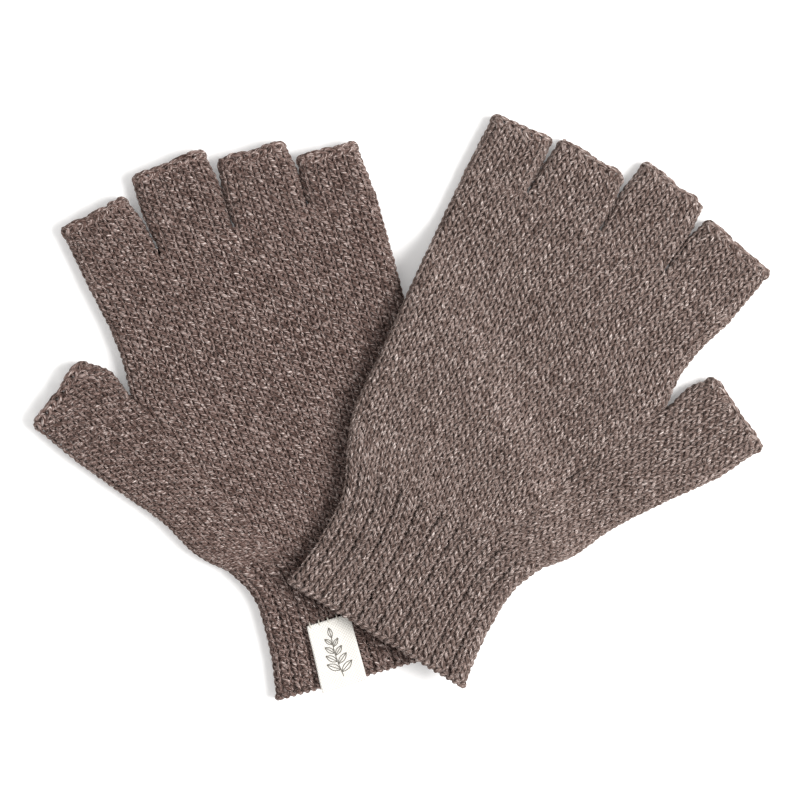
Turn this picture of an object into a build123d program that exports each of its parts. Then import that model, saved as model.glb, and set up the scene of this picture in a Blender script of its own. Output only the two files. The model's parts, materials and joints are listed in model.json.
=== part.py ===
"""A pair of hand-knitted wool fingerless gloves, lying flat with one glove on the other.

Each glove is drafted in its own flat frame, in millimetres: the origin is the middle of the cuff's
end, x runs towards the thumb and y runs up the hand to the fingers.  The left glove lies flat.
The right glove lies on it, so its cuff is raised and its hand drapes down to the same surface.
"""

from build123d import *
import os
from math import cos, radians, sin

os.makedirs("parts", exist_ok=True)

# Fabric
FABRIC = 2.3  # thickness of one knitted layer
AIR = 4.8  # height of the hollow between the two layers
THICK = 2 * FABRIC + AIR  # height of one glove lying flat
EDGE = 2.6  # depth of a cast-on or bound-off edge, one row of stitches
FOLD_GAP = 0.35  # clearance at each line where the fabric folds

# Cuff
CUFF_LENGTH = 48.0
CUFF_END_HALF = 35.5  # half width at the cast-on edge
CUFF_WAIST_HALF = 33.3  # half width where the rib pulls in
CUFF_WAIST_Y = 20.0
CUFF_FLARE_HALF = 34.8
CUFF_FLARE_Y = 38.0
WRIST_HALF = 39.5  # half width where the hand starts

# Gusset
GUSSET_FOOT_X = 17.5  # where the gusset leaves the wrist

# Label, sewn on the back of the left cuff
LABEL_WIDTH = 15.4
LABEL_LENGTH = 23.4
LABEL_THICK = 0.4
LABEL_MIDDLE_X = 9.2
LABEL_END_Y = -1.6
STITCH_COUNT = 5
STITCH_LENGTH = 1.5
STITCH_WIDTH = 0.5

# How the right glove lies on the left one
RAISE = THICK + 0.9  # height of its cuff above the surface
DRAPE_START = Vector(1.5, 47.7)  # a point on the line where the fabric starts to come down
DRAPE_LEAN = 26.2  # that line's lean from the y axis, in degrees, top to the left
DRAPE_WIDTH = 24.0  # how far it takes to reach the surface
REACH = 200.0  # longer than any piece, for construction solids


class Tube:
    """A finger or thumb tube: the middle of its base, its lean, its length and its two widths."""

    def __init__(self, x, y, lean, length, base_width, tip_width):
        self.x = x
        self.y = y
        self.lean = radians(lean)
        self.length = length
        self.base_width = base_width
        self.tip_width = tip_width

    def point(self, along, across):
        """The flat-frame point so far along the tube from its base and across from its middle line."""
        px = self.x + along * sin(self.lean) + across * cos(self.lean)
        py = self.y + along * cos(self.lean) - across * sin(self.lean)
        return (px, py)

    def half(self, along):
        """Half of the tube's width at a distance from its base."""
        return (self.base_width + (self.tip_width - self.base_width) * along / self.length) / 2

    def strip(self, start, end, inset=0.0):
        """The four corners of the tube between two distances from its base."""
        return [
            self.point(start, inset - self.half(start)),
            self.point(start, self.half(start) - inset),
            self.point(end, self.half(end) - inset),
            self.point(end, inset - self.half(end)),
        ]


class Glove:
    """One glove: where it lies, its tubes, and the side edges of its hand."""

    def __init__(self, name, x, y, lean, thumb_side, tubes, outer_side, index_side, gusset_side):
        self.name = name
        self.x = x
        self.y = y
        self.lean = radians(lean)
        self.thumb_side = thumb_side
        self.tubes = tubes
        self.outer_side = outer_side
        self.index_side = index_side
        self.gusset_side = gusset_side

    def place(self, points):
        """Flat-frame points moved to where the glove lies."""
        placed = []
        for x, y in points:
            side = self.thumb_side * x
            placed.append(
                (
                    self.x + side * cos(self.lean) + y * sin(self.lean),
                    self.y - side * sin(self.lean) + y * cos(self.lean),
                )
            )
        return placed


LEFT = Glove(
    name="left",
    x=-10.23,
    y=-90.78,
    lean=-17.0,
    thumb_side=-1,
    tubes={
        "little": Tube(-37.5, 155.2, -1.0, 21.4, 21.6, 19.8),
        "ring": Tube(-13.0, 156.0, 0.5, 28.2, 26.0, 22.6),
        "middle": Tube(13.6, 156.2, 3.5, 31.6, 25.8, 24.7),
        "index": Tube(41.0, 155.4, 12.0, 24.6, 27.4, 24.8),
        "thumb": Tube(63.7, 106.4, 37.4, 20.2, 31.0, 28.4),
    },
    outer_side=[(-43.2, 60.0), (-45.0, 85.0), (-46.6, 120.0)],
    index_side=[(51.2, 124.0), (52.0, 138.0)],
    gusset_side=[(46.0, 54.8), (55.2, 69.6), (66.4, 83.8)],
)

RIGHT = Glove(
    name="right",
    x=-8.23,
    y=-76.88,
    lean=29.6,
    thumb_side=1,
    tubes={
        "little": Tube(-40.9, 152.3, -4.0, 23.2, 22.0, 20.8),
        "ring": Tube(-15.6, 153.6, 0.0, 25.6, 27.2, 23.6),
        "middle": Tube(11.4, 154.4, 3.0, 31.6, 25.4, 24.2),
        "index": Tube(38.6, 153.6, 10.5, 23.8, 28.0, 27.2),
        "thumb": Tube(62.4, 109.9, 26.0, 19.4, 30.4, 29.4),
    },
    outer_side=[(-44.0, 60.0), (-46.2, 85.0), (-49.6, 122.0)],
    index_side=[(47.6, 127.0), (49.2, 139.0)],
    gusset_side=[(45.0, 55.0), (53.2, 70.4), (64.6, 87.6)],
)


def flat_slab(low, high):
    """The space between two heights over a flat glove."""
    with BuildPart() as slab:
        with BuildSketch(Plane.XY.offset(low)):
            Rectangle(2 * REACH, 2 * REACH)
        extrude(amount=high - low)
    return slab.part


def draped_slab(low, high):
    """The space between two heights over the surface that the right glove drapes on.

    The section is level at RAISE, comes down in an S curve, and is level on the surface.
    """
    lean = radians(DRAPE_LEAN)
    across = Vector(cos(lean), sin(lean), 0)
    along = Vector(-sin(lean), cos(lean), 0)
    section = Plane(origin=(DRAPE_START.X, DRAPE_START.Y, 0), x_dir=across, z_dir=-along)
    half = DRAPE_WIDTH / 2
    with BuildPart() as slab:
        with BuildSketch(section):
            with BuildLine():
                Line((-REACH, RAISE + low), (0, RAISE + low))
                Bezier((0, RAISE + low), (half, RAISE + low), (half, low), (DRAPE_WIDTH, low))
                Line((DRAPE_WIDTH, low), (REACH, low))
                Line((REACH, low), (REACH, high))
                Line((REACH, high), (DRAPE_WIDTH, high))
                Bezier((DRAPE_WIDTH, high), (half, high), (half, RAISE + high), (0, RAISE + high))
                Line((0, RAISE + high), (-REACH, RAISE + high))
                Line((-REACH, RAISE + high), (-REACH, RAISE + low))
            make_face()
        extrude(amount=REACH, both=True)
    return slab.part


SLABS = {"left": flat_slab, "right": draped_slab}


def save(part, name):
    """Label one finished piece and write it."""
    part.label = name
    export_step(part, f"parts/{name}.step")


def cuff_side(side, inset=0.0):
    """The points of one side of the cuff, from the cast-on edge to the wrist."""
    return [
        (side * (CUFF_END_HALF - inset), 0),
        (side * (CUFF_WAIST_HALF - inset), CUFF_WAIST_Y),
        (side * (CUFF_FLARE_HALF - inset), CUFF_FLARE_Y),
        (side * (WRIST_HALF - inset), CUFF_LENGTH),
    ]


def build_cuff(glove):
    """The ribbed cuff as an open tube, and its cast-on edge as a ring across the end."""
    slab = SLABS[glove.name]
    left = glove.place(cuff_side(-1))
    right = glove.place(cuff_side(1))
    inner_left = glove.place(cuff_side(-1, FABRIC))
    inner_right = glove.place(cuff_side(1, FABRIC))
    wide = 2 * WRIST_HALF
    end_zone_corners = glove.place([(-wide, -EDGE), (wide, -EDGE), (wide, EDGE), (-wide, EDGE)])
    with BuildPart() as hollow:
        with BuildSketch():
            with BuildLine():
                Spline(*inner_left)
                Spline(*inner_right)
                Line(inner_left[0], inner_right[0])
                Line(inner_left[-1], inner_right[-1])
            make_face()
        extrude(amount=REACH)
        add(slab(FABRIC, THICK - FABRIC), mode=Mode.INTERSECT)
    with BuildPart() as end_zone:
        with BuildSketch():
            with BuildLine():
                Polyline(*end_zone_corners, close=True)
            make_face()
        extrude(amount=REACH)
    with BuildPart() as tube:
        with BuildSketch():
            with BuildLine():
                Spline(*left)
                Spline(*right)
                Line(left[0], right[0])
                Line(left[-1], right[-1])
            make_face()
        extrude(amount=REACH)
        add(slab(0, THICK), mode=Mode.INTERSECT)
        add(hollow.part, mode=Mode.SUBTRACT)
    with BuildPart() as cuff:
        add(tube.part)
        add(end_zone.part, mode=Mode.SUBTRACT)
    with BuildPart() as edge:
        add(tube.part)
        add(end_zone.part, mode=Mode.INTERSECT)
    save(cuff.part, f"{glove.name}_cuff_rib")
    save(edge.part, f"{glove.name}_cuff_cast_on_edge")


def hand_end(glove):
    """The corners of the hand's finger end, from the little finger to the index finger."""
    corners = []
    for name in ("little", "ring", "middle", "index"):
        tube = glove.tubes[name]
        corners += tube.strip(-FOLD_GAP, 0)[:2]
    return corners


def build_hand(glove):
    """The back and the palm of the hand, and the gusset that widens it to the thumb.

    All three share one hollow, which is open to the cuff, the four fingers and the thumb.
    """
    slab = SLABS[glove.name]
    start_y = CUFF_LENGTH + FOLD_GAP
    thumb = glove.tubes["thumb"]
    crotch, thumb_corner = thumb.strip(-FOLD_GAP, 0)[:2]
    end = hand_end(glove)
    wrist_outer = (-WRIST_HALF, start_y)
    wrist_foot = (GUSSET_FOOT_X, start_y)
    wrist_thumb = (WRIST_HALF, start_y)

    outer_edge = glove.place([wrist_outer, *glove.outer_side, end[0]])
    index_edge = glove.place([crotch, *glove.index_side, end[-1]])
    gusset_edge = glove.place([wrist_thumb, *glove.gusset_side, thumb_corner])
    end_placed = glove.place(end)
    foot = glove.place([wrist_foot])[0]

    # The hollow runs past every open end, and stands one fabric thickness inside the side folds.
    run_on = 2 * FOLD_GAP
    inner_outer = [(x + FABRIC, y) for x, y in [wrist_outer, *glove.outer_side, end[0]]]
    inner_index = [(x - FABRIC, y) for x, y in [crotch, *glove.index_side, end[-1]]]
    inner_gusset = [(x - FABRIC, y) for x, y in [wrist_thumb, *glove.gusset_side]]
    thumb_mouth = thumb.strip(run_on, run_on + 1, FABRIC)[:2]
    low_outer = (inner_outer[0][0], start_y - run_on)
    low_thumb = (inner_gusset[0][0], start_y - run_on)
    high_outer = (inner_outer[-1][0], end[0][1] + FABRIC)
    high_index = (inner_index[-1][0], end[-1][1] + FABRIC)
    hollow_corners = [
        low_outer,
        *inner_outer,
        high_outer,
        (glove.tubes["ring"].x, glove.tubes["ring"].y + FABRIC),
        (glove.tubes["middle"].x, glove.tubes["middle"].y + FABRIC),
        high_index,
        *reversed(inner_index[1:]),
        thumb_mouth[0],
        thumb_mouth[1],
        *reversed(inner_gusset),
        low_thumb,
    ]
    with BuildPart() as hollow:
        with BuildSketch():
            with BuildLine():
                Polyline(*glove.place(hollow_corners), close=True)
            make_face()
        extrude(amount=REACH)
        add(slab(FABRIC, THICK - FABRIC), mode=Mode.INTERSECT)

    with BuildPart() as hand:
        with BuildSketch():
            with BuildLine():
                Spline(*outer_edge)
                Polyline(*end_placed)
                Spline(*index_edge)
                Line(index_edge[0], foot)
                Line(foot, outer_edge[0])
            make_face()
        extrude(amount=REACH)
        add(hollow.part, mode=Mode.SUBTRACT)
    with BuildPart() as back:
        add(hand.part)
        add(slab(THICK / 2, THICK), mode=Mode.INTERSECT)
    with BuildPart() as palm:
        add(hand.part)
        add(slab(0, THICK / 2), mode=Mode.INTERSECT)
    with BuildPart() as gusset:
        with BuildSketch():
            with BuildLine():
                Line(foot, gusset_edge[0])
                Spline(*gusset_edge)
                Line(gusset_edge[-1], index_edge[0])
                Line(index_edge[0], foot)
            make_face()
        extrude(amount=REACH)
        add(hollow.part, mode=Mode.SUBTRACT)
        add(slab(0, THICK), mode=Mode.INTERSECT)
    save(back.part, f"{glove.name}_hand_back")
    save(palm.part, f"{glove.name}_hand_palm")
    save(gusset.part, f"{glove.name}_thumb_gusset")


def build_tube(glove, name):
    """One finger or thumb tube, open at both ends, and the bound-off edge round its mouth."""
    tube = glove.tubes[name]
    edge_start = tube.length - EDGE
    spans = {
        f"{glove.name}_{name}_tube": (0, edge_start),
        f"{glove.name}_{name}_bound_off_edge": (edge_start, tube.length),
    }
    for node, (start, end) in spans.items():
        with BuildPart() as piece:
            with BuildSketch():
                with BuildLine():
                    Polyline(*glove.place(tube.strip(start, end)), close=True)
                make_face()
            extrude(amount=THICK)
            with BuildSketch(Plane.XY.offset(FABRIC)):
                with BuildLine():
                    Polyline(*glove.place(tube.strip(start, end, FABRIC)), close=True)
                make_face()
            extrude(amount=AIR, mode=Mode.SUBTRACT)
        save(piece.part, node)


def build_label(glove):
    """The woven label on the back of the cuff, and the stitches that hold its upper edge."""
    low_x = LABEL_MIDDLE_X - LABEL_WIDTH / 2
    high_x = LABEL_MIDDLE_X + LABEL_WIDTH / 2
    top_y = LABEL_END_Y + LABEL_LENGTH
    corners = [(low_x, LABEL_END_Y), (high_x, LABEL_END_Y), (high_x, top_y), (low_x, top_y)]
    with BuildPart() as label:
        with BuildSketch(Plane.XY.offset(THICK)):
            with BuildLine():
                Polyline(*glove.place(corners), close=True)
            make_face()
        extrude(amount=LABEL_THICK)
    pitch = LABEL_WIDTH / STITCH_COUNT
    stitch_y = top_y + FOLD_GAP
    stitch_top = stitch_y + STITCH_LENGTH
    with BuildPart() as stitches:
        with BuildSketch(Plane.XY.offset(THICK)):
            for number in range(STITCH_COUNT):
                x = low_x + (number + 0.5) * pitch
                near = x - STITCH_WIDTH / 2
                far = x + STITCH_WIDTH / 2
                ends = [(near, stitch_y), (far, stitch_y), (far, stitch_top), (near, stitch_top)]
                with BuildLine():
                    Polyline(*glove.place(ends), close=True)
                make_face()
        extrude(amount=LABEL_THICK)
    save(label.part, f"{glove.name}_cuff_label")
    save(stitches.part, f"{glove.name}_cuff_label_stitches")


for glove in (LEFT, RIGHT):
    build_cuff(glove)
    build_hand(glove)
    for finger in glove.tubes:
        build_tube(glove, finger)
build_label(LEFT)
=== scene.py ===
"""A pair of knitted wool fingerless gloves, one lying on the other, built from yarn stitch by stitch."""

import json

import bpy
import numpy as np
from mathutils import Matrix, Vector


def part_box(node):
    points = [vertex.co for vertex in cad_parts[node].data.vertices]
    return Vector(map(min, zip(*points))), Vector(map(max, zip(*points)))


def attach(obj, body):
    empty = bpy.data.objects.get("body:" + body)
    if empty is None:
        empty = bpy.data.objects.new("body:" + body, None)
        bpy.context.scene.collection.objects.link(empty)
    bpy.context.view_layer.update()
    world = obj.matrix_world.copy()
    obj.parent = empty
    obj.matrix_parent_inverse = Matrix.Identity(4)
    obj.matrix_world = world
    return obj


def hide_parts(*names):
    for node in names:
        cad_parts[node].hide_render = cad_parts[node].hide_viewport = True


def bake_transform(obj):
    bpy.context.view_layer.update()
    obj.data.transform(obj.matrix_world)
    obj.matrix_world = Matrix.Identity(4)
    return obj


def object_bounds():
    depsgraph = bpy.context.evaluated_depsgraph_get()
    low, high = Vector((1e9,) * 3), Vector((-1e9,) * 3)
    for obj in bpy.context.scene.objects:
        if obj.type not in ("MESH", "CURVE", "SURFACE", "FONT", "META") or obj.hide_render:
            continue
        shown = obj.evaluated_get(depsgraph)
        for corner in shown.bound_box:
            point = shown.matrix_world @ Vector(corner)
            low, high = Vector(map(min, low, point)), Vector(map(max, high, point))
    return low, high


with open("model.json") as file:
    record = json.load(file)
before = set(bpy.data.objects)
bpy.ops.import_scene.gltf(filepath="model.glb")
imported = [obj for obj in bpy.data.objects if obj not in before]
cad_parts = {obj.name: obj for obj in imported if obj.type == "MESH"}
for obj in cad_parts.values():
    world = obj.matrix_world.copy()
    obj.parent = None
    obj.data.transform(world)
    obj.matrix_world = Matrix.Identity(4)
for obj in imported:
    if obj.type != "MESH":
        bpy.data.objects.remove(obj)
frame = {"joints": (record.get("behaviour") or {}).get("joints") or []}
cad_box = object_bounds()

# -----------------------------------------------------------------------------
# How the two gloves lie: the right one has its cuff on the left cuff, and drapes down across one
# slanting line.  Each is drafted flat in its own frame in millimetres: the origin is the middle of
# the cuff's end, x runs to the thumb and y up the hand.

MM = 0.001
CUFF_LENGTH = 48.0
DRAPE_POINT = np.array([1.5, 47.7])
DRAPE_LEAN = np.radians(26.2)
DRAPE_WIDTH = 24.0
JOINTS = {joint["name"]: joint for joint in frame["joints"]}


def fold_line(name):
    """The middle of a fold line on the surface in millimetres, and the way the folding piece points."""
    joint = JOINTS[name]
    axis = joint["axis"]
    return np.array(joint["pos_m"][:2]) / MM, np.array([-axis[1], axis[0]])


class Glove:
    """One glove's place, read from its wrist fold, its thumb fold and its cuff."""

    def __init__(self, name):
        self.name = name
        self.wrist, down = fold_line(f"{name}_wrist_fold")
        self.up = -down
        across = np.array([self.up[1], -self.up[0]])
        thumb, _ = fold_line(f"{name}_thumb_bend")
        self.mirrored = (thumb - self.wrist) @ across < 0
        self.thumbwards = -across if self.mirrored else across
        low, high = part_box(f"{name}_cuff_rib")
        self.raised = low.z / MM
        self.thick = (high.z - low.z) / MM

    def lift(self, xy):
        """Height of what is under the glove: level, an S down across the drape line, then level.

        The S is a cubic curve with level ends and its two handles half way across.
        """
        t = np.linspace(0, 1, 65)
        run = DRAPE_WIDTH * (1.5 * t * (1 - t) + t**3)
        drop = self.raised * (1 - t) ** 2 * (1 + 2 * t)
        past = (xy - DRAPE_POINT) @ np.array([np.cos(DRAPE_LEAN), np.sin(DRAPE_LEAN)])
        return np.interp(past, run, drop)

    def surface(self, x, y):
        """Flat-frame x and y as a place on the surface in millimetres."""
        along = np.multiply.outer(y - CUFF_LENGTH, self.up)
        return self.wrist + np.multiply.outer(x, self.thumbwards) + along

    def to_row(self, points):
        """Flat-frame points moved to where the glove lies, in metres."""
        xy = self.surface(points[..., 0], points[..., 1])
        return np.concatenate([xy, (points[..., 2] + self.lift(xy))[..., None]], axis=-1) * MM

    def to_flat(self, xy):
        """A place on the surface in millimetres as flat-frame x and y."""
        return np.array([(xy - self.wrist) @ self.thumbwards, (xy - self.wrist) @ self.up + CUFF_LENGTH])

    def spot(self, x, y):
        """A flat-frame place as a point in the row frame, half way through the glove."""
        return tuple(self.to_row(np.array([x, y, self.thick / 2])))


GLOVES = [Glove("left"), Glove("right")]

# -----------------------------------------------------------------------------
# The yarn of both gloves: soft two-ply wool, spun from brown, grey and beige fleece.
# Heathered: fine light and dark fibres follow the twist, so the colour is broken up all along the
# yarn.  It is matt, with a faint bloom at grazing angles, and its colour is painted darker where the plies
# meet, as painted shade.

YARN_RADIUS = 0.59
YARN_PER_STITCH = 10.5  # length of yarn in a stitch
YARN_START = 900.0  # every strand and hair starts somewhere on this length of yarn
TWIST_PITCH = 3.4  # length of a full turn of the two plies


def linear(hex_colour):
    """An sRGB hex colour as linear red, green, blue and alpha."""
    values = np.array([int(hex_colour[i : i + 2], 16) / 255 for i in (0, 2, 4)])
    rgb = np.where(values <= 0.04045, values / 12.92, ((values + 0.055) / 1.055) ** 2.4)
    return (*rgb.tolist(), 1.0)


def set_values(node, values):
    """Gives a shader node's sockets their values."""
    for socket, value in values.items():
        node.inputs[socket].default_value = value


def add(tree, kind, links=None, values=None, **settings):
    """Adds a shader node with its settings, its socket values and its incoming links."""
    made = tree.nodes.new(f"ShaderNode{kind}")
    for name, value in settings.items():
        setattr(made, name, value)
    set_values(made, values or {})
    for socket, source in (links or {}).items():
        tree.links.new(source, made.inputs[socket])
    return made


def calculate(tree, operation, *terms):
    """The output of a maths node, each of whose terms is a number or another node's output."""
    made = add(tree, "Math", operation=operation)
    for socket, term in zip(made.inputs, terms):
        if isinstance(term, float):
            socket.default_value = term
        else:
            tree.links.new(term, socket)
    return made.outputs[0]


def yarn_map(tree):
    """The yarn map, and its two values: millimetres along the yarn and turns round it."""
    place = add(tree, "UVMap", uv_map="Yarn").outputs["UV"]
    parts = add(tree, "SeparateXYZ", {0: place})
    return place, parts.outputs["X"], parts.outputs["Y"]


def twist_angle(tree, along, round_yarn, pitch):
    """The angle round a twisted yarn, in radians, from a line that follows its twist."""
    turns = calculate(tree, "MULTIPLY_ADD", along, 1 / pitch, round_yarn)
    return calculate(tree, "MULTIPLY", turns, 2 * np.pi)


def start_material(name):
    """A new material's node tree with a shader joined to its output."""
    material = bpy.data.materials.new(name)
    material.use_nodes = True
    tree = material.node_tree
    tree.nodes.clear()
    shader = add(tree, "BsdfPrincipled")
    add(tree, "OutputMaterial", {"Surface": shader.outputs["BSDF"]})
    return material, tree, shader


def set_stops(ramp, stops):
    """Gives a colour ramp its positions and hex colours."""
    elements = ramp.color_ramp.elements
    while len(elements) < len(stops):
        elements.new(0.5)
    for element, (position, colour) in zip(elements, stops):
        element.position = position
        element.color = linear(colour)


def heathered_wool_yarn(name, stops):
    """Two-ply wool: streaks of fibre along the twist, slow shades, and a groove between the plies,
    in the bump and as painted shade in the colour.

    The yarn map holds millimetres along the yarn and turns round it.
    """
    material, tree, shader = start_material(name)
    _, along, round_yarn = yarn_map(tree)
    angle = twist_angle(tree, along, round_yarn, TWIST_PITCH)
    sine = calculate(tree, "SINE", angle)
    cosine = calculate(tree, "COSINE", angle)
    ply = calculate(tree, "ABSOLUTE", sine)
    # Fibres are hundredths of a millimetre across; to show at all they come in tufts a third of a
    # millimetre across and a millimetre long.
    across = {axis: calculate(tree, "MULTIPLY", wave, 2.0) for axis, wave in (("Y", sine), ("Z", cosine))}
    fibre_place = add(tree, "CombineXYZ", {"X": along, **across})
    fibre_noise = {"Scale": 1.1, "Detail": 2.0, "Roughness": 0.62}
    fibres = add(tree, "TexNoise", {"Vector": fibre_place.outputs[0]}, fibre_noise).outputs["Fac"]
    # The blend of fleece changes every few millimetres.
    shade_place = add(tree, "CombineXYZ", {"X": along}, {"Y": 3.7})
    shades = add(tree, "TexNoise", {"Vector": shade_place.outputs[0]}, {"Scale": 0.3, "Detail": 2.0})
    blend = add(tree, "Mix", {2: fibres, 3: shades.outputs["Fac"]}, {0: 0.25})
    colour = add(tree, "ValToRGB", {"Fac": blend.outputs[0]})
    set_stops(colour, stops)
    # Painted shade: the groove between the plies holds less light, so the colour is darkened there.
    groove_range = {"From Min": 0.0, "From Max": 0.5, "To Min": 0.6, "To Max": 1.0}
    painted_groove_shade = add(tree, "MapRange", {"Value": ply}, groove_range)
    both = {6: colour.outputs["Color"], 7: painted_groove_shade.outputs["Result"]}
    shaded = add(tree, "Mix", both, {0: 1.0}, data_type="RGBA", blend_type="MULTIPLY")
    tree.links.new(shaded.outputs[2], shader.inputs["Base Color"])
    relief = calculate(tree, "MULTIPLY_ADD", fibres, 0.6, ply)
    bump = add(tree, "Bump", {"Height": relief}, {"Strength": 0.6, "Distance": 0.00025})
    tree.links.new(bump.outputs["Normal"], shader.inputs["Normal"])
    set_values(shader, {"Roughness": 0.92, "Specular IOR Level": 0.15})
    set_values(shader, {"Sheen Weight": 0.2, "Sheen Roughness": 0.6, "Sheen Tint": linear("cfc2b8")})
    return material


# One fleece.  The lower glove's copy is painted a shade darker: painted shade, as it gets less of the light
# than the upper glove.
FLEECE_STOPS = (0.36, 0.43, 0.50, 0.57, 0.65)
FLEECE = {
    "left": ("150905", "31201b", "604a43", "907c76", "d6cac4"),
    "right": ("1b0f0b", "3d2c26", "6a5851", "94837d", "d6cac4"),
}
WOOL = {
    name: heathered_wool_yarn(f"heathered_wool_yarn_{name}", list(zip(FLEECE_STOPS, colours)))
    for name, colours in FLEECE.items()
}

# -----------------------------------------------------------------------------
# Cuffs: ribbing of two knit columns and one purl column, which pulls in and stretches.
# Sixty stitches round, flared to its end and drawn in above it.  Knitted in one with the hand.

FABRIC = 2.3  # thickness of one knitted layer
COURSE = 2.6  # height of a row of stitches
LOOP_SWING = 0.25
LOOP_SKEW = 0.17  # the yarn's twist leans every stitch, so that one leg stands upright
LOOP_REACH = 0.76
LOOP_DEPTH = 0.52
LEG_LIFT = 0.12
LEG_DIFFERENCE = 0.11  # the leaning leg lies open and thick, the upright one is drawn tight and thin
STEPS = 12  # points along the yarn in a stitch
RING = 6  # points round the yarn
YARN_FLAT = 0.86  # the yarn is pressed a little flat
LEAST_HEIGHT = 0.05  # nothing comes nearer the surface below
# How unlike the stitches are at their heads: in column, row, distance out, thickness and swing.
UNEVEN = np.array([0.045, 0.08, 0.12, 0.10, 0.12]).reshape(5, 1, 1, 1)
WEB_DEPTH = (-0.42, -0.67)
HAIR_RADIUS = 0.05
HAIR_REACH = (0.5, 1.3)  # a hair's least length in rows, and how much more the longest has
HAIR_RISE = (0.2, 1.0)  # the same for its rise, in millimetres
HAIRS = {"cuff": 1000, "hand": 600, "gusset": 900, "tube": 400}
# Bands of the bake map, from its foot to its top.
STITCH_BAND = (0.0, 0.8)
WEB_BAND = (0.82, 0.9)
HAIR_BAND = (0.92, 1.0)
WHOLE_BAND = (0.0, 1.0)
CUFF_COLUMNS = 60
RIB_PERIOD = 3
RIB_RELIEF = 1.5
RIB_SPREAD = 0.75
RIB_FADE = 2.2  # rows in which the ribs melt into the hand
# The two sides of each cuff, from its end to the wrist: little-finger side, then thumb side.
CUFF_SIDES = {
    "left": (
        [(-35.5, -1.8), (-33.3, 20.0), (-34.8, 38.0), (-39.5, 48.0)],
        [(34.2, 0.0), (31.3, 20.0), (32.0, 38.0), (37.4, 48.0)],
    ),
    "right": (
        [(-35.5, 0.0), (-33.3, 20.0), (-34.8, 38.0), (-39.5, 48.0)],
        [(35.5, -1.8), (33.3, 20.0), (34.6, 38.0), (38.9, 48.0)],
    ),
}
CUFF_ROWS = 19
EDGE = 2.6  # depth of a cast-on or bound-off edge
WRIST_BEND = 12.0


def smooth(value):
    """0 below 0, 1 above 1, and an even curve between."""
    t = np.clip(value, 0, 1)
    return t * t * (3 - 2 * t)


def side_line(points):
    """A smooth line through points, as a function of the share of its length.

    Each span is the cubic that has the points' places and slopes at its two ends.
    """
    points = np.array(points, float)
    reach = np.concatenate([[0], np.cumsum(np.linalg.norm(np.diff(points, axis=0), axis=1))])
    slope = np.gradient(points, reach, axis=0)

    def line(share):
        distance = share * reach[-1]
        span = np.clip(np.searchsorted(reach, distance, side="right") - 1, 0, len(points) - 2)
        length = (reach[span + 1] - reach[span])[..., None]
        t = (distance - reach[span])[..., None] / length
        start = (2 * t**3 - 3 * t**2 + 1) * points[span] + (t**3 - 2 * t**2 + t) * length * slope[span]
        end = (3 * t**2 - 2 * t**3) * points[span + 1] + (t**3 - t**2) * length * slope[span + 1]
        return start + end

    line.length = reach[-1]
    return line


def round_section(share, half_width, half_height, corner_low, corner_high, wall):
    """Where a share of the way round a flattened tube lies in its section, and which way is outwards.

    The first half goes up the low side, round a corner, over the flat top, round a corner and down
    the high side.  The second half is its mirror image below.  Without a wall the low side is open.
    """
    share = np.mod(share, 1.0)
    over = np.where(share < 0.5, 1.0, -1.0)
    quarter = np.pi / 2
    low_run = (half_height - corner_low) * wall
    top_run = 2 * half_width - corner_low - corner_high
    high_run = half_height - corner_high
    top_at = low_run + corner_low * quarter
    high_turn_at = top_at + top_run
    high_at = high_turn_at + corner_high * quarter
    travel = 2 * np.where(share < 0.5, share, 1 - share) * (high_at + high_run)
    low_turn = np.clip((travel - low_run) / corner_low, 0, quarter)
    high_turn = np.clip((travel - high_turn_at) / corner_high, 0, quarter)
    x = (
        -half_width
        + corner_low * (1 - np.cos(low_turn))
        + np.clip(travel - top_at, 0, top_run)
        + corner_high * np.sin(high_turn)
    )
    z = (
        half_height
        - (low_run - np.clip(travel, 0, low_run))
        - corner_low * (1 - np.sin(low_turn))
        - corner_high * (1 - np.cos(high_turn))
        - np.clip(travel - high_at, 0, high_run)
    )
    out_x = np.sin(high_turn) - np.cos(low_turn)
    out_z = over * (np.sin(low_turn) + np.cos(high_turn) - 1)
    return x, over * z, out_x, out_z


def full_corner(share):
    """A side that is round all along."""
    return np.full(np.shape(share), np.inf)


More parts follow.
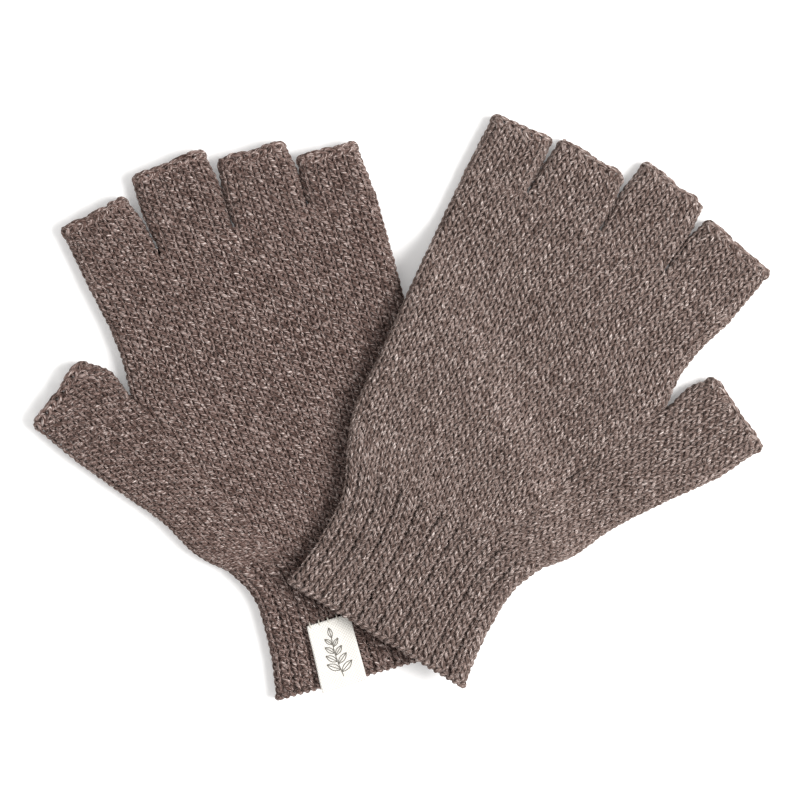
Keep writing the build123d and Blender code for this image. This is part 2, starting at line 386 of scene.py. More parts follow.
class Fabric:
    """A knitted tube that lies flat between two side lines.

    A place on it is a column number round it, from the middle of its low side over the top, and a
    row number along it, from the side lines' start.
    """

    def __init__(self, glove, low_side, high_side, columns, rows, **form):
        self.glove = glove
        self.low_side = low_side
        self.high_side = high_side
        self.columns = columns
        self.rows = rows
        self.corners = form.get("corners", (full_corner, full_corner))
        self.wall = form.get("wall", 1.0)
        self.bow = form.get("bow", 0.0)
        self.droop = form.get("droop", 0.0)
        self.half_height = (glove.thick - FABRIC) / 2

    def place(self, column, row, out):
        """Flat-frame points, at a distance outwards from the middle of the fabric.

        The section of a row lies on the line between the two side lines.  At the far end the bow
        arches it, by a square law, and the droop pulls its two corners back, by an eighth-power law.
        A slow ripple of a third of a millimetre keeps the flat layers from being level.
        """
        share = row / self.rows
        low = self.low_side(share)
        high = self.high_side(share)
        across = high - low
        width = np.linalg.norm(across, axis=-1)
        across = across / width[..., None]
        half_width = (width - FABRIC) / 2
        corner_low, corner_high = (np.clip(corner(share), 0.05, self.half_height) for corner in self.corners)
        x, z, out_x, out_z = round_section(
            column / self.columns, half_width, self.half_height, corner_low, corner_high, self.wall
        )
        forward = np.stack([-across[..., 1], across[..., 0]], axis=-1)
        off_middle = x / half_width
        arch = self.bow * (1 - off_middle**2) - self.droop * off_middle**8
        arch = arch * np.clip(share, 0, 2) ** 3
        flat = (low + high) / 2 + across * (x + out_x * out)[..., None] + forward * arch[..., None]
        px, py = flat[..., 0], flat[..., 1]
        ripple = 0.2 * np.sin(px / 7.3 + py / 11.0) + 0.15 * np.sin(px / 4.9 - py / 8.3 + 1.3) - 0.2
        height = self.glove.thick / 2 + z + out_z * (out + ripple)
        return np.concatenate([flat, height[..., None]], axis=-1)

    def column_at(self, place, row):
        """The column number on top of the fabric that is abreast of a flat-frame place in a row."""
        column = np.linspace(0, self.columns / 2, 400)
        points = self.place(column, np.full(400, float(row)), 0.0)[:, :2]
        across = points[-1] - points[0]
        return np.interp(np.dot(place - points[0], across), (points - points[0]) @ across, column)


def plain(column, row):
    """Stocking stitch: level, and every stitch shows its face."""
    return column, 0.0, 1.0


def rib(column, row):
    """Two knit, one purl: knit columns stand up and spread, purl columns sink and turn their back."""
    strength = smooth((CUFF_ROWS + 0.5 - row) / RIB_FADE)
    phase = 2 * np.pi * (column - 1) / RIB_PERIOD
    spread = column + strength * RIB_SPREAD * RIB_PERIOD / (2 * np.pi) * np.sin(phase)
    from_purl = np.abs(np.mod(column - 1, RIB_PERIOD) - RIB_PERIOD / 2)
    facing = np.clip((from_purl - 0.5) / 0.12, -1, 1)
    return spread, -strength * RIB_RELIEF * smooth((0.95 - from_purl) / 0.8), facing


def yarn_rings(centres, above, radius, closed, sides=RING):
    """Rings of points round strands of yarn: ellipses square to the strand, flattened towards above.

    centres and above are arrays of strands by points by three.
    """
    if closed:
        tangent = np.roll(centres, -1, axis=1) - np.roll(centres, 1, axis=1)
    else:
        tangent = np.gradient(centres, axis=1)
    tangent /= np.linalg.norm(tangent, axis=-1, keepdims=True)
    front = above - centres
    front -= tangent * np.sum(front * tangent, axis=-1, keepdims=True)
    front /= np.linalg.norm(front, axis=-1, keepdims=True)
    side = np.cross(tangent, front)
    angle = 2 * np.pi * np.arange(sides) / sides + np.pi / 2
    size = radius[:, :, None, None]
    rise = size * YARN_FLAT * np.sin(angle)[:, None] * front[:, :, None]
    rings = centres[:, :, None] + rise + size * np.cos(angle)[:, None] * side[:, :, None]
    rings[..., 2] = np.maximum(rings[..., 2], LEAST_HEIGHT)
    return rings.reshape(-1, 3)


def strand_faces(kept, closed, start_mm, step_mm, band, sides=RING):
    """Faces between neighbouring rings where a strand is kept, and caps where it is cut, with their maps.

    kept is strands by spans, and each point of a strand starts one span.  The yarn map is
    millimetres along and turns round, and the bake map gives each face a cell in a band of heights.
    """
    strands, points = kept.shape
    strand, span = np.nonzero(kept)
    first = (strand * points + span)[:, None] * sides
    second = (strand * points + (span + 1) % points)[:, None] * sides
    ring = np.arange(sides)
    turned = (ring + 1) % sides
    quads = np.stack([first + ring, second + ring, second + turned, first + turned], axis=-1).reshape(-1, 4)
    before = np.roll(kept, 1, axis=1)
    after = np.roll(kept, -1, axis=1)
    if not closed:
        before[:, 0] = False
        after[:, -1] = False
    starts = ~before[strand, span]
    ends = ~after[strand, span]
    caps = np.vstack([first[starts] + ring, second[ends] + ring[::-1]])
    along = start_mm[strand] + span * step_mm
    along = np.stack([along, along + step_mm, along + step_mm, along], axis=-1)[:, None]
    round_yarn = np.stack([ring, ring, ring + 1, ring + 1], axis=-1)[None] / sides
    shape = (len(strand), sides, 4)
    yarn = np.stack([np.broadcast_to(along, shape), np.broadcast_to(round_yarn, shape)], axis=-1)
    u = np.stack([span, span + 1, span + 1, span], axis=-1)[:, None] / points
    height = (strand[:, None, None] + 0.02 + 0.96 * round_yarn) / strands
    v = band[0] + (band[1] - band[0]) * height
    bake = np.stack([np.broadcast_to(u, shape), np.broadcast_to(v, shape)], axis=-1)
    nothing = np.zeros((len(caps), sides, 2))
    return [(quads, yarn.reshape(-1, 4, 2), bake.reshape(-1, 4, 2)), (caps, nothing, nothing)]


def build_mesh(name, glove, layers, material=None):
    """A mesh object at the origin from layers of flat-frame points and their faces, yarn and bake maps."""
    counts = np.cumsum([0] + [len(points) for points, _ in layers])
    vertices = glove.to_row(np.concatenate([points for points, _ in layers]))
    parts = [
        (faces + offset, yarn, bake)
        for offset, (_, layer_parts) in zip(counts, layers)
        for faces, yarn, bake in layer_parts
        if len(faces)
    ]
    if glove.mirrored:
        parts = [(faces[:, ::-1], yarn[:, ::-1], bake[:, ::-1]) for faces, yarn, bake in parts]
    used, numbers = np.unique(np.concatenate([faces.ravel() for faces, _, _ in parts]), return_inverse=True)
    sizes = np.concatenate([np.full(len(faces), faces.shape[1]) for faces, _, _ in parts])
    mesh = bpy.data.meshes.new(name)
    mesh.vertices.add(len(used))
    mesh.vertices.foreach_set("co", vertices[used].astype(np.float32).ravel())
    mesh.loops.add(len(numbers))
    mesh.loops.foreach_set("vertex_index", numbers.astype(np.int32))
    mesh.polygons.add(len(sizes))
    mesh.polygons.foreach_set("loop_start", (np.cumsum(sizes) - sizes).astype(np.int32))
    mesh.update(calc_edges=True)
    mesh.polygons.foreach_set("use_smooth", np.ones(len(sizes), bool))
    for map_name, which in (("Yarn", 1), ("OFBake", 2)):
        values = np.concatenate([part[which].reshape(-1, 2) for part in parts])
        layer = mesh.uv_layers.new(name=map_name)
        layer.uv.foreach_set("vector", values.astype(np.float32).ravel())
    mesh.materials.append(material or WOOL[glove.name])
    piece = bpy.data.objects.new(name, mesh)
    bpy.context.scene.collection.objects.link(piece)
    return piece


def level(places):
    """A fabric that nothing presses down."""
    return 0.0


class Knitting:
    """All the stitches of a fabric as yarn, ready to be cut into pieces.

    A row is one strand of loops round the tube.  Over one turn of a loop the yarn moves on one
    column and swings twice to the sides, goes up to the head and back down, and comes forward
    twice, in the legs.  The whole loop leans, by the skew times its height.  Each stitch is a little
    off in size and place, by an amount that dies away at its foot so that the yarn stays whole.
    """

    def __init__(self, fabric, row_count, seed, stitch=plain, shift=0.0, settle=level):
        self.fabric = fabric
        self.row_count = row_count
        self.stitch = stitch
        self.shift = shift
        self.settle = settle
        self.random = np.random.default_rng(seed)
        turn = 2 * np.pi * np.arange(STEPS) / STEPS
        swell = (1 - np.cos(turn)) / 2
        uneven = UNEVEN * (self.random.normal(0, 1, (5, row_count, fabric.columns, 1)) * swell)
        lean = -1 if fabric.glove.mirrored else 1
        swing = LOOP_SWING * (1 + uneven[4])
        column = np.arange(fabric.columns)[:, None] + turn / (2 * np.pi) + swing * np.sin(2 * turn)
        column = column + lean * LOOP_SKEW * np.cos(turn) + uneven[0]
        row = np.arange(row_count)[:, None, None] + 0.5 - LOOP_REACH * np.cos(turn) + uneven[1]
        out = -LOOP_DEPTH * np.cos(2 * turn) - lean * LEG_LIFT * np.sin(turn) + uneven[2]
        radius = YARN_RADIUS * (1 + uneven[3]) + lean * LEG_DIFFERENCE * np.sin(turn)
        strand = (row_count, fabric.columns * STEPS)
        column, row, out = (value.reshape(strand) for value in (column, row, out))
        centres = self.place(column, row, out)
        above = self.place(column, row, out + 1.0)
        self.points = yarn_rings(centres, above, radius.reshape(strand), self.closed)
        column = np.broadcast_to(np.arange(fabric.columns) + 0.5, (row_count, fabric.columns))
        row = np.broadcast_to(np.arange(row_count)[:, None] + 0.5, column.shape)
        self.middles = self.place(column, row, np.zeros(column.shape))

    @property
    def closed(self):
        return self.fabric.wall > 0

    def place(self, column, row, out, turned=True, pressed=True):
        """Flat-frame points of the knitting, over its ribs.

        Yarn turns its back in purl columns, and web and hairs don't.  Hairs aren't pressed down.
        """
        column, rise, facing = self.stitch(column, row)
        column = column - self.shift
        out = (facing * out if turned else out) + rise
        if pressed:
            out = out + self.settle(self.fabric.place(column, row, 0.0))
        return self.fabric.place(column, row, out)

    def web(self, first, last, rows):
        """The felted web of fine fibre between the yarns, a quarter of a millimetre thick.

        It is a grid at two depths, and each column of it is a ring: up the outer face, down the inner.
        """
        whole = self.closed and last - first == self.fabric.columns
        count = 2 * (last - first)
        column = np.linspace(first, last, count + 1)[: count if whole else None]
        up = np.linspace(rows[0], rows[1], round(rows[1] - rows[0]) + 1)
        row = np.concatenate([up, up[::-1]])
        out = np.concatenate([np.full(len(up), WEB_DEPTH[0]), np.full(len(up), WEB_DEPTH[1])])
        shape = (len(column), len(row))
        column, row, out = (np.broadcast_to(value, shape) for value in (column[:, None], row, out))
        points = self.place(column, row, out, turned=False)
        points[..., 2] = np.maximum(points[..., 2], LEAST_HEIGHT)
        kept = np.ones((1, len(column)), bool)
        kept[:, -1] = whole
        faces = strand_faces(kept, whole, np.zeros(1), COURSE, WEB_BAND, sides=len(row[0]))
        return points.reshape(-1, 3), faces

    def fuzz(self, kept, count):
        """Fine hairs that stand out of the yarn: each curls along the fabric from its root and rises."""
        row, column = np.nonzero(kept)
        chosen = self.random.integers(0, len(row), count)
        s = np.linspace(0, 1, 4)
        angle, curl, reach, rise, start = self.random.uniform(0, 1, (5, count, 1))
        heading = 2 * np.pi * angle + 2.4 * (curl - 0.5) * s
        length = (HAIR_REACH[0] + HAIR_REACH[1] * reach) * s
        column = column[chosen][:, None] + self.random.uniform(0, 1, (count, 1))
        column = column + length * np.cos(heading) * 0.75
        row = row[chosen][:, None] + self.random.uniform(0, 1, (count, 1)) + length * np.sin(heading)
        row = np.clip(row, 0.3, self.row_count)
        out = 0.1 + 0.7 * start + (HAIR_RISE[0] + HAIR_RISE[1] * rise**2) * s
        radius = HAIR_RADIUS * (1.05 - s) * np.ones((count, 1))
        centres, above = (self.place(column, row, height, False, False) for height in (out, out + 1.0))
        points = yarn_rings(centres, above, radius, False, sides=3)
        spans = np.ones((count, 4), bool)
        spans[:, -1] = False
        offset = self.random.uniform(0, YARN_START, count)
        return points, strand_faces(spans, False, offset, 1.0, HAIR_BAND, sides=3)

    def piece(self, name, kept, web, hairs):
        """The mesh of the kept stitches, or of all, the web between them and the hairs on them."""
        kept = np.ones(self.middles.shape[:2], bool) if kept is None else kept
        spans = np.repeat(kept, STEPS, axis=1)
        if not self.closed:
            spans[:, -1] = False
        start = self.random.uniform(0, YARN_START, self.row_count)
        stitches = strand_faces(spans, self.closed, start, YARN_PER_STITCH / STEPS, STITCH_BAND)
        layers = [(self.points, stitches), self.web(*web), self.fuzz(kept, hairs)]
        return build_mesh(name, self.fabric.glove, layers)


cuff_fabrics = {}
for number, glove in enumerate(GLOVES):
    name = f"{glove.name}_cuff_rib"
    outer_side, thumb_side = (side_line(points) for points in CUFF_SIDES[glove.name])
    fabric = Fabric(glove, outer_side, thumb_side, CUFF_COLUMNS, CUFF_ROWS)
    cuff_fabrics[glove.name] = fabric
    knitting = Knitting(fabric, CUFF_ROWS, 100 + number, stitch=rib)
    kept = knitting.middles[..., 1] > EDGE * 0.8
    piece = knitting.piece(f"{name}_knit", kept, (0, CUFF_COLUMNS, (0.7, CUFF_ROWS)), HAIRS["cuff"])
    glove.spot(0, CUFF_LENGTH)
    glove.spot(0, CUFF_LENGTH - WRIST_BEND)
    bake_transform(piece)
    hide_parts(name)

# -----------------------------------------------------------------------------
# Cast-on edges: the first loops of each cuff, wound round its end as a firm cord.
# The cord is a little uneven, with one turn for each stitch.

CORD_RADIUS = 0.7  # of the helix that the yarn's middle follows
CORD_ROW = 0.5
CORD_YARN = 1.1  # times as thick as the knitted yarn
EDGE_YARN_STEP = 0.5 * YARN_PER_STITCH / STEPS  # length of yarn from point to point in an edge


def edge_strands(name, fabric, column, along, out, thickness, start):
    """Closed strands of thick yarn round a tube's end, from the places of their middle lines."""
    centres = fabric.place(column, along, out)
    above = fabric.place(column, along, out + 1.0)
    rings = yarn_rings(centres, above, np.full(column.shape, YARN_RADIUS * thickness), True)
    parts = strand_faces(np.ones(column.shape, bool), True, start, EDGE_YARN_STEP, WHOLE_BAND)
    return build_mesh(name, fabric.glove, [(rings, parts)])


def cast_on_cord(name, fabric, seed):
    """One strand wound round a cuff's end, one turn of its helix for each stitch."""
    points = fabric.columns * STEPS
    t = np.arange(points)[None] / points
    turn = 2 * np.pi * t * fabric.columns
    uneven = 1 + 0.06 * np.sin(turn / 3.0 + 1) + 0.05 * np.sin(turn / 7.3)
    along = CORD_ROW + CORD_RADIUS * uneven / COURSE * np.sin(turn)
    out = CORD_RADIUS * uneven * np.cos(turn)
    start = np.random.default_rng(seed).uniform(0, YARN_START, 1)
    return edge_strands(name, fabric, t * fabric.columns, along, out, CORD_YARN, start)


for number, glove in enumerate(GLOVES):
    name = f"{glove.name}_cuff_cast_on_edge"
    piece = cast_on_cord(f"{name}_knit", cuff_fabrics[glove.name], 180 + number)
    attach(piece, f"{glove.name}_cuff")
    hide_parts(name)

# -----------------------------------------------------------------------------
# Finger and thumb tubes: stocking stitch knitted round from the hand's live stitches.
# Each is a short open tube that leans its own way.  They come before the hand here, because the
# hand ends along the lines where they start.

# The low and the high side of each tube, the high side nearer the thumb: the side's length, and how
# far it is from the tube's middle line at the base and at the rim.
TUBES = {
    "left": {
        "little": ((21.2, 12.6, 10.8), (21.6, 10.8, 9.9)),
        "ring": ((27.4, 13.0, 11.3), (28.0, 13.0, 11.3)),
        "middle": ((32.0, 12.9, 12.4), (31.8, 12.9, 13.0)),
        "index": ((23.8, 13.7, 12.4), (24.3, 13.4, 12.1)),
        "thumb": ((20.8, 15.5, 14.4), (20.8, 14.5, 13.2)),
    },
    "right": {
        "little": ((23.4, 11.4, 10.7), (24.2, 11.0, 10.6)),
        "ring": ((25.4, 13.6, 11.8), (24.4, 13.6, 11.8)),
        "middle": ((31.4, 12.7, 12.1), (29.4, 12.7, 12.1)),
        "index": ((24.2, 14.0, 13.6), (23.3, 14.6, 14.6)),
        "thumb": ((19.6, 15.2, 14.8), (19.4, 15.2, 15.4)),
    },
}
TUBE_COLUMNS = {"little": 14, "ring": 18, "middle": 17, "index": 18, "thumb": 20}
TUBE_BEND = 9.0
# How far a side stands out past its straight line, half way up and at the rim.  The soft tubes
# spread until they nearly touch.
SPREAD = {"left": (1.8, 0.9), "right": (2.0, 0.9)}
CLOSE_SPREAD = (1.8, 1.35)  # between the right glove's little and ring fingers
THUMB_SPREAD = {"left": (3.4, 0.8), "right": (1.9, 0.3)}
RIM_DIP = 0.8
RIM_DROOP = 0.9
RIM_ROW = 0.45  # rows from a tube's end back to the middle of its bound-off edge
CORNER_GROWS = 10.0  # how far up a tube the side next to another finger becomes round


class Tube:
    """A finger or thumb tube: the middle of its base, its direction, and the sizes of its two sides."""

    def __init__(self, glove, finger):
        self.glove = glove
        self.finger = finger
        self.sides = dict(zip((-1, 1), TUBES[glove.name][finger]))
        self.length = (self.sides[-1][0] + self.sides[1][0]) / 2
        base, forward = fold_line(f"{glove.name}_{finger}_bend")
        self.base = glove.to_flat(base)
        self.forward = np.array([forward @ glove.thumbwards, forward @ glove.up])
        self.across = np.array([self.forward[1], -self.forward[0]])

    def spread(self, side):
        """How far a side stands out past its straight line, half way up and at the rim."""
        if self.finger == "thumb":
            return THUMB_SPREAD[self.glove.name] if side < 0 else (0, 0)
        if (self.finger, side) in (("little", -1), ("index", 1)):
            return 0, 0
        if self.glove.name == "right" and (self.finger, side) in (("little", 1), ("ring", -1)):
            return CLOSE_SPREAD
        return SPREAD[self.glove.name]

    def corner(self, side, share, spread=0.0):
        """A flat-frame point on the low (-1) or high (1) side, at a share of its length."""
        length, at_base, at_rim = self.sides[side]
        out = at_base + (at_rim - at_base) * share + spread
        return self.base + self.forward * length * share + self.across * side * out

    def side(self, side):
        """The low (-1) or high (1) side line."""
        middle, rim = self.spread(side)
        return side_line([self.corner(side, 0), self.corner(side, 0.5, middle), self.corner(side, 1, rim)])

    def past_base(self, places):
        """How far flat-frame places lie beyond the base line, and how far beside the tube."""
        offset = places - self.base
        beside = offset @ self.across
        return offset @ self.forward, np.maximum(beside - self.sides[1][1], -beside - self.sides[-1][1])


def growing_corner(length):
    """A side that starts square against its neighbour and becomes round up the tube."""
    return lambda share: 0.5 + 3.1 * smooth(share * length / CORNER_GROWS)


tubes = {glove.name: {finger: Tube(glove, finger) for finger in TUBE_COLUMNS} for glove in GLOVES}

# -----------------------------------------------------------------------------
# Hands: a wide tube of stocking stitch, with its upper and lower layer as two pieces.
# Sixty stitches round.  Its columns end along the slanting line where the thumb gusset grows, and
# its last rows meet the fingers.

HAND_COLUMNS = 60
GUSSET_FOOT = np.array([17.5, 48.35])
TUCK_DEPTH = 0.65
OUTER_SIDE = {
    "left": [(-43.6, 60.0), (-46.8, 85.0), (-49.0, 120.0)],
    "right": [(-44.2, 60.0), (-46.6, 85.0), (-50.0, 122.0)],
}
INDEX_SIDE = {"left": [(50.8, 124.0), (51.6, 138.0)], "right": [(47.6, 127.0), (49.2, 139.0)]}
GUSSET_SIDE = {
    "left": [(45.2, 55.2), (54.0, 70.4), (65.2, 84.6)],
    "right": [(45.0, 55.0), (53.2, 70.4), (64.6, 87.6)],
}
WRISTS = {name: (sides[0][-1], sides[1][-1]) for name, sides in CUFF_SIDES.items()}

hand_fabrics = {}
for number, glove in enumerate(GLOVES):
    fingers = tubes[glove.name]
    crotch = fingers["thumb"].corner(-1, 0)
    outer_wrist, wrist = np.array(WRISTS[glove.name])
    outer_side = side_line([outer_wrist, *OUTER_SIDE[glove.name], fingers["little"].corner(-1, 0)])
    to_crotch = [wrist, wrist + (crotch - wrist) / 3, wrist + (crotch - wrist) * 2 / 3, crotch]
    index_side = side_line([*to_crotch, *INDEX_SIDE[glove.name], fingers["index"].corner(1, 0)])
    row_count = round(outer_side.length / COURSE)
    fabric = Fabric(glove, outer_side, index_side, HAND_COLUMNS, row_count, bow=2.4)
    hand_fabrics[glove.name] = fabric
    gusset_line = (crotch - GUSSET_FOOT) / np.linalg.norm(crotch - GUSSET_FOOT)

    def past_gusset_line(places):
        """How far flat-frame places lie on the gusset's side of its slanting line."""
        offset = places[..., :2] - GUSSET_FOOT
        return offset[..., 0] * gusset_line[1] - offset[..., 1] * gusset_line[0]

    def tucked(places):
        """The ends of the hand's columns go under the gusset's first column."""
        near_line = smooth((past_gusset_line(places) + 2.2) / 2.4)
        return -TUCK_DEPTH * near_line * smooth((crotch[1] - places[..., 1]) / 4)

    knitting = Knitting(fabric, row_count + 2, 200 + number, settle=tucked)
    places = knitting.middles[..., :2]
    kept = (past_gusset_line(places) < 1.6) | (places[..., 1] > crotch[1] - 1)
    # Rows end where the nearest finger starts.
    past = np.stack([fingers[finger].past_base(places) for finger in ("little", "ring", "middle", "index")])
    nearest = np.argmin(past[:, 1], axis=0)
    beyond = np.take_along_axis(past[:, 0], nearest[None], axis=0)[0]
    beside = np.take_along_axis(past[:, 1], nearest[None], axis=0)[0]
    kept &= beyond < COURSE * (0.6 + 0.4 * smooth((beside + 2.5) / 1.5))
    upper = np.arange(HAND_COLUMNS) < HAND_COLUMNS / 2
    for layer, side, first in (("back", upper, 0), ("palm", ~upper, HAND_COLUMNS // 2)):
        web = (first, first + HAND_COLUMNS // 2, (0, row_count + 1.0))
        piece = knitting.piece(f"{glove.name}_hand_{layer}_knit", kept & side, web, HAIRS["hand"])
        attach(piece, f"{glove.name}_hand")
        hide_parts(f"{glove.name}_hand_{layer}")

# -----------------------------------------------------------------------------
# Thumb gussets: the wedge of stocking stitch that widens from the wrist to the thumb.
# Its columns follow the thumb, and its low side joins the hand's columns along a slanting line.

GUSSET_COLUMNS = 18

gusset_fabrics = {}
for number, glove in enumerate(GLOVES):
    name = f"{glove.name}_thumb_gusset"
    thumb = tubes[glove.name]["thumb"]
    inner_side = side_line([GUSSET_FOOT - (2.2, 0.0), thumb.corner(-1, 0) - (1.2, 0.0)])
    free_side = side_line([WRISTS[glove.name][1], *GUSSET_SIDE[glove.name], thumb.corner(1, 0)])
    row_count = round((inner_side.length + free_side.length) / 2 / COURSE)
    fabric = Fabric(glove, inner_side, free_side, GUSSET_COLUMNS, row_count, wall=0.0)
    gusset_fabrics[glove.name] = fabric
    knitting = Knitting(fabric, row_count, 300 + number)
    piece = knitting.piece(f"{name}_knit", None, (0, GUSSET_COLUMNS, (0, row_count)), HAIRS["gusset"])
    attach(piece, f"{glove.name}_hand")
    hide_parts(name)

# -----------------------------------------------------------------------------
# The finger and thumb tubes themselves, and their bound-off edges: a chain of loops laid over the
# rim, which makes it a little thick and scalloped.

LINK_HALF_LENGTH = 0.72  # in stitches, so that each link reaches well under the next
LINK_HALF_WIDTH = 1.35
LINK_YARN = 1.25  # times as thick as the knitted yarn


def bound_off_chain(name, fabric, row, seed):
    """Loops laid like shingles round a rim, one to a stitch: teardrops, each with one end under the next."""
    random = np.random.default_rng(seed)
    theta = 2 * np.pi * np.arange(STEPS) / STEPS
    one_each = (fabric.columns, 1)
    size = 1 + 0.14 * random.normal(0, 1, one_each)
    column = np.arange(fabric.columns)[:, None] + 0.5 + LINK_HALF_LENGTH * np.cos(theta) * size
    along = row + LINK_HALF_WIDTH / COURSE * size * np.sin(theta) * (1 + 0.3 * np.cos(theta))
    along = along + 0.12 * random.normal(0, 1, one_each)
    out = 0.2 - 0.55 * np.cos(theta) + 0.06 * random.normal(0, 1, one_each)
    start = random.uniform(0, YARN_START, fabric.columns)
    return edge_strands(name, fabric, column, along, out, LINK_YARN, start)


for number, glove in enumerate(GLOVES):
    fingers = tubes[glove.name]
    for place, (finger, columns) in enumerate(TUBE_COLUMNS.items()):
        tube = fingers[finger]
        name = f"{glove.name}_{finger}"
        rows = tube.length / COURSE
        row_count = round((tube.length - 0.6 * EDGE) / COURSE)
        square = growing_corner(tube.length)
        low_corner = full_corner if finger == "little" else square
        high_corner = full_corner if finger in ("index", "thumb") else square
        form = {"corners": (low_corner, high_corner), "bow": -RIM_DIP, "droop": RIM_DROOP}
        fabric = Fabric(glove, tube.side(-1), tube.side(1), columns, rows, **form)
        below = gusset_fabrics[glove.name] if finger == "thumb" else hand_fabrics[glove.name]
        shift = np.mod(below.column_at(tube.base, below.rows) - columns / 4, 1.0)
        knitting = Knitting(fabric, row_count, 400 + 10 * number + place, shift=shift)
        body = f"{glove.name}_thumb" if finger == "thumb" else f"{name}_finger"
        piece = knitting.piece(f"{name}_tube_knit", None, (0, columns, (-0.6, rows - 0.7)), HAIRS["tube"])
        glove.spot(*tube.base)
        glove.spot(*(tube.base + tube.forward * TUBE_BEND))
        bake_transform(piece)
        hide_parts(f"{name}_tube")
        edge_seed = 500 + 10 * number + place
        edge = bound_off_chain(f"{name}_bound_off_edge_knit", fabric, rows - RIM_ROW, edge_seed)
        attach(edge, body)
        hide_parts(f"{name}_bound_off_edge")

# -----------------------------------------------------------------------------
# The label: a short length of cream woven cotton tape, sewn by its upper end to the left cuff.
# It lies on the ribs and reaches just past the cuff's end.  A small leaf sprig is stitched on it.

LABEL_WIDTH = 15.4
LABEL_LENGTH = 23.4
LABEL_THICK = 0.4
LABEL_MIDDLE_X = 9.2
LABEL_END_Y = -1.6
LABEL_TURN = -0.05  # it was sewn on a little askew
LABEL_GRID = (25, 33)
TAPE_THREAD = 0.55  # real tape threads are a third of this; drawn coarser so that the weave shows
THREAD_PITCH = 0.6  # length of a full turn of the sewing thread's twist
LINE_POINTS = 15  # points along a stitched line
THREAD_HEIGHT = 0.05  # of a stitched line's middle over the tape
STITCH_COUNT = 5
left_glove = GLOVES[0]


def label_surface(across, along):
    """Flat-frame points of the label's upper face, from millimetres off its middle line and up its length.

    It follows the ribs in a low wave, lifts a little at its free end, and its sides are not quite straight.
    """
    side = across * (1.035 + 0.012 * np.sin(along / 2.6) - 0.055 * along / LABEL_LENGTH)
    side = side + LABEL_TURN * (along - LABEL_LENGTH / 2)
    wave = 0.13 * np.cos(2 * np.pi * across / 7.2) + 0.1 * np.sin(along / 3.1 + across / 6.0)
    free_end = 0.35 * smooth((5 - along) / 5) * (1 + 0.5 * across / LABEL_WIDTH)
    height = left_glove.thick + LABEL_THICK + 0.12 + wave * 0.6 + free_end
    return np.stack([LABEL_MIDDLE_X + side, LABEL_END_Y + along + 0 * across, height], axis=-1)


def label_cloth():
    """The tape as a closed sheet: each line along it is a ring, up the upper face and down the lower."""
    across = np.linspace(-LABEL_WIDTH / 2, LABEL_WIDTH / 2, LABEL_GRID[0])
    along = np.linspace(0, LABEL_LENGTH, LABEL_GRID[1])
    x, y = np.meshgrid(across, along, indexing="ij")
    upper = label_surface(x, y)
    lower = upper - (0, 0, LABEL_THICK)
    points = np.concatenate([upper, lower[:, ::-1]], axis=1).reshape(-1, 3)
    kept = np.ones((1, LABEL_GRID[0]), bool)
    kept[:, -1] = False
    step = LABEL_WIDTH / (LABEL_GRID[0] - 1)
    sides = 2 * LABEL_GRID[1]
    (quads, tape, bake), caps = strand_faces(kept, False, np.zeros(1), step, WHOLE_BAND, sides=sides)
    up_and_down = 2 * LABEL_LENGTH * LABEL_GRID[1] / (LABEL_GRID[1] - 1)
    return points, [(quads, tape * (1, up_and_down), bake), caps]


def woven_cotton_tape():
    """Cream plain-weave cotton: warp and weft cross in a fine chequer, with painted shade in its dips and
    slubs in its tone.
    """
    material, tree, shader = start_material("woven_cotton_tape")
    place, *sides = yarn_map(tree)
    warp, weft = (
        calculate(tree, "SINE", calculate(tree, "MULTIPLY", side, np.pi / TAPE_THREAD)) for side in sides
    )
    weave = calculate(tree, "MULTIPLY", warp, weft)
    slubs = add(tree, "TexNoise", {"Vector": place}, {"Scale": 0.9, "Detail": 3.0})
    height = calculate(tree, "MULTIPLY_ADD", slubs.outputs["Fac"], 0.8, weave)
    # Painted shade: the colour is darker where the weave dips; the slubs vary the cotton's own tone.
    tone = add(tree, "MapRange", {"Value": height}, {"From Min": -0.7, "From Max": 1.4})
    colour = add(tree, "ValToRGB", {"Fac": tone.outputs["Result"]})
    set_stops(colour, [(0.0, "c6c1b8"), (0.45, "dad6cf"), (1.0, "e3e1dc")])
    tree.links.new(colour.outputs["Color"], shader.inputs["Base Color"])
    bump = add(tree, "Bump", {"Height": height}, {"Strength": 0.5, "Distance": 0.00012})
    tree.links.new(bump.outputs["Normal"], shader.inputs["Normal"])
    set_values(shader, {"Roughness": 0.85, "Specular IOR Level": 0.2})
    return material


def cotton_thread(name, light, dark):
    """Mercerised cotton thread: a slight gloss, with painted shade of its twist running round it."""
    material, tree, shader = start_material(name)
    _, along, round_yarn = yarn_map(tree)
    wave = calculate(tree, "SINE", twist_angle(tree, along, round_yarn, THREAD_PITCH))
    # Painted shade: the colour runs from dark to light round the twist.
    tone = add(tree, "MapRange", {"Value": wave}, {"From Min": -1.0, "From Max": 1.0})
    colour = add(tree, "ValToRGB", {"Fac": tone.outputs["Result"]})
    set_stops(colour, [(0.0, dark), (1.0, light)])
    tree.links.new(colour.outputs["Color"], shader.inputs["Base Color"])
    set_values(shader, {"Roughness": 0.55})
    return material


def thread_lines(name, lines, radius, material):
    """Threads that lie on the label, each a line of millimetres across and along it and above it."""
    across, along, above = np.moveaxis(np.array(lines), -1, 0)
    centres = label_surface(across, along) + above[..., None] * (0, 0, 1)
    rings = yarn_rings(centres, centres + (0, 0, 1), radius * np.ones(across.shape), False)
    spans = np.ones(across.shape, bool)
    spans[:, -1] = False
    parts = strand_faces(spans, False, np.zeros(len(lines)), 0.35, WHOLE_BAND)
    return build_mesh(name, left_glove, [(rings, parts)], material)


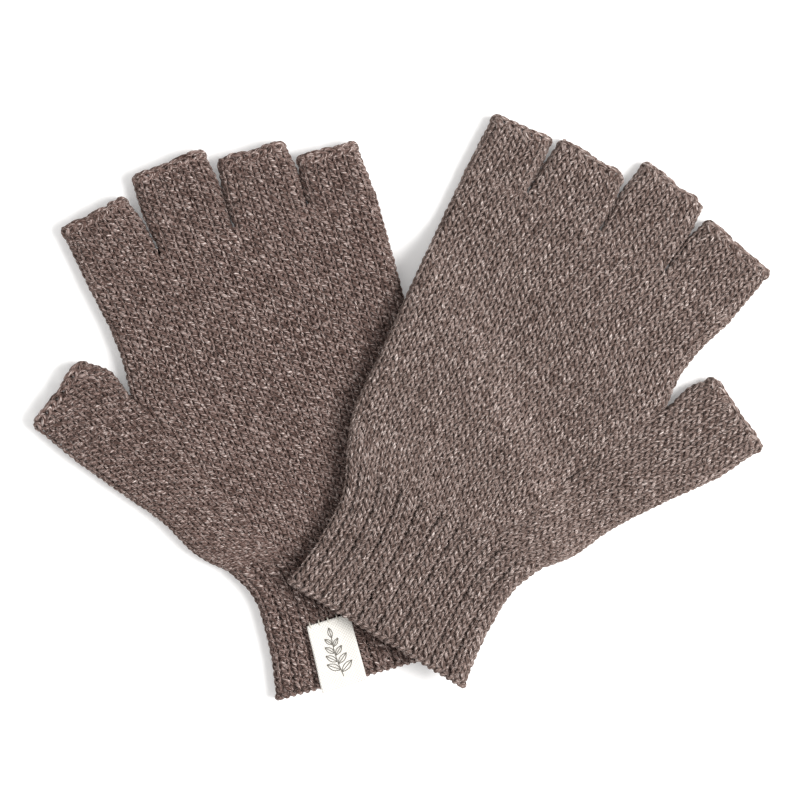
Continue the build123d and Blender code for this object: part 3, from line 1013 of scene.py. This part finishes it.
def leaf(x, y, lean, length):
    """Both edges of a leaf and its rib: sine arches either side of a line that leans from its foot."""
    t = np.linspace(0, 1, LINE_POINTS)
    forward = np.array([np.sin(lean), np.cos(lean)])
    sideways = np.array([np.cos(lean), -np.sin(lean)])
    edges = []
    for bulge in (-0.2, 0.2, 0.0):
        arch = np.outer(bulge * length * np.sin(np.pi * t), sideways)
        flat = np.array([x, y]) + np.outer(t * length, forward) + arch
        edges.append(np.column_stack([flat, np.full(LINE_POINTS, THREAD_HEIGHT)]))
    return edges


label = build_mesh("left_cuff_label_tape", left_glove, [label_cloth()], woven_cotton_tape())
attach(label, "left_cuff")
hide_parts("left_cuff_label")

t = np.linspace(0, 1, LINE_POINTS)
stem = np.column_stack([1.1 * np.sin(2.2 * t) - 0.6, 3.4 + 14.0 * t, np.full(LINE_POINTS, THREAD_HEIGHT)])
sprig_lines = [stem, *leaf(stem[-1, 0], stem[-1, 1] - 0.3, 0.05, 3.6)]
for step in range(1, 5):
    foot = stem[3 * step - 1]
    for side in (-1, 1):
        sprig_lines += leaf(foot[0], foot[1] + 0.4 * side, side * (1.05 - 0.08 * step), 5.8 - 0.6 * step)
grey_thread = cotton_thread("grey_cotton_thread", "7d786f", "45413c")
sprig = thread_lines("left_cuff_label_sprig", sprig_lines, 0.15, grey_thread)
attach(sprig, "left_cuff")

# Short stitches over the tape's upper end, into the ribs.
stitch_lines = []
for number in range(STITCH_COUNT):
    x = (number - 2) * (LABEL_WIDTH - 2.4) / (STITCH_COUNT - 1)
    y = LABEL_LENGTH - 1.0 + 1.9 * t
    arch = 0.22 * np.sin(np.pi * t) - 0.5 * smooth((t - 0.7) / 0.3)
    stitch_lines.append(np.column_stack([x + 0.25 * (t - 0.5), y, arch]))
cream_thread = cotton_thread("cream_cotton_thread", "d9d4ca", "aaa498")
stitches = thread_lines("left_cuff_label_sewing", stitch_lines, 0.24, cream_thread)
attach(stitches, "left_cuff")
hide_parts("left_cuff_label_stitches")

# -----------------------------------------------------------------------------
# The white surface the gloves lie on, the light and the camera straight above.
# About half the light comes evenly from all round, and the rest from a soft lamp to the right.


def area_light(name, place, target, width, energy):
    """A square soft light at a place, turned to a target."""
    data = bpy.data.lights.new(name, "AREA")
    data.size = width
    data.energy = energy
    light = bpy.data.objects.new(name, data)
    aim = np.array(target) - np.array(place)
    light.location = place
    light.rotation_euler = Vector(aim).to_track_quat("-Z", "Y").to_euler()
    bpy.context.scene.collection.objects.link(light)


FLOOR_REACH = 2.0
FLOOR_GAP = 0.0001
WHITE = (1, 1, 1, 1)

floor_mesh = bpy.data.meshes.new("floor")
corners = [(x * FLOOR_REACH, y * FLOOR_REACH, 0) for x, y in ((-1, -1), (1, -1), (1, 1), (-1, 1))]
floor_mesh.from_pydata(corners, [], [(0, 1, 2, 3)])
floor = bpy.data.objects.new("floor", floor_mesh)
floor.location.z = cad_box[0].z - FLOOR_GAP
bpy.context.scene.collection.objects.link(floor)
# The paper glows a little, which keeps the shadows on it faint.
material, _, shader = start_material("white_paper")
set_values(shader, {"Base Color": linear("f6f5f4"), "Roughness": 0.9})
set_values(shader, {"Emission Color": WHITE, "Emission Strength": 0.15})
floor_mesh.materials.append(material)

world = bpy.data.worlds.new("studio")
world.use_nodes = True
set_values(world.node_tree.nodes["Background"], {"Color": WHITE, "Strength": 0.8})
bpy.context.scene.world = world
area_light("key", (0.8, -0.05, 1.1), (0, 0, 0), 0.6, 22.0)

camera_data = bpy.data.cameras.new("camera")
camera_data.lens = 156.5
camera = bpy.data.objects.new("camera", camera_data)
camera.location = (-0.0002, 0.0028, 1.2)
bpy.context.scene.collection.objects.link(camera)
bpy.context.scene.camera = camera
bpy.context.scene.view_settings.view_transform = "Standard"
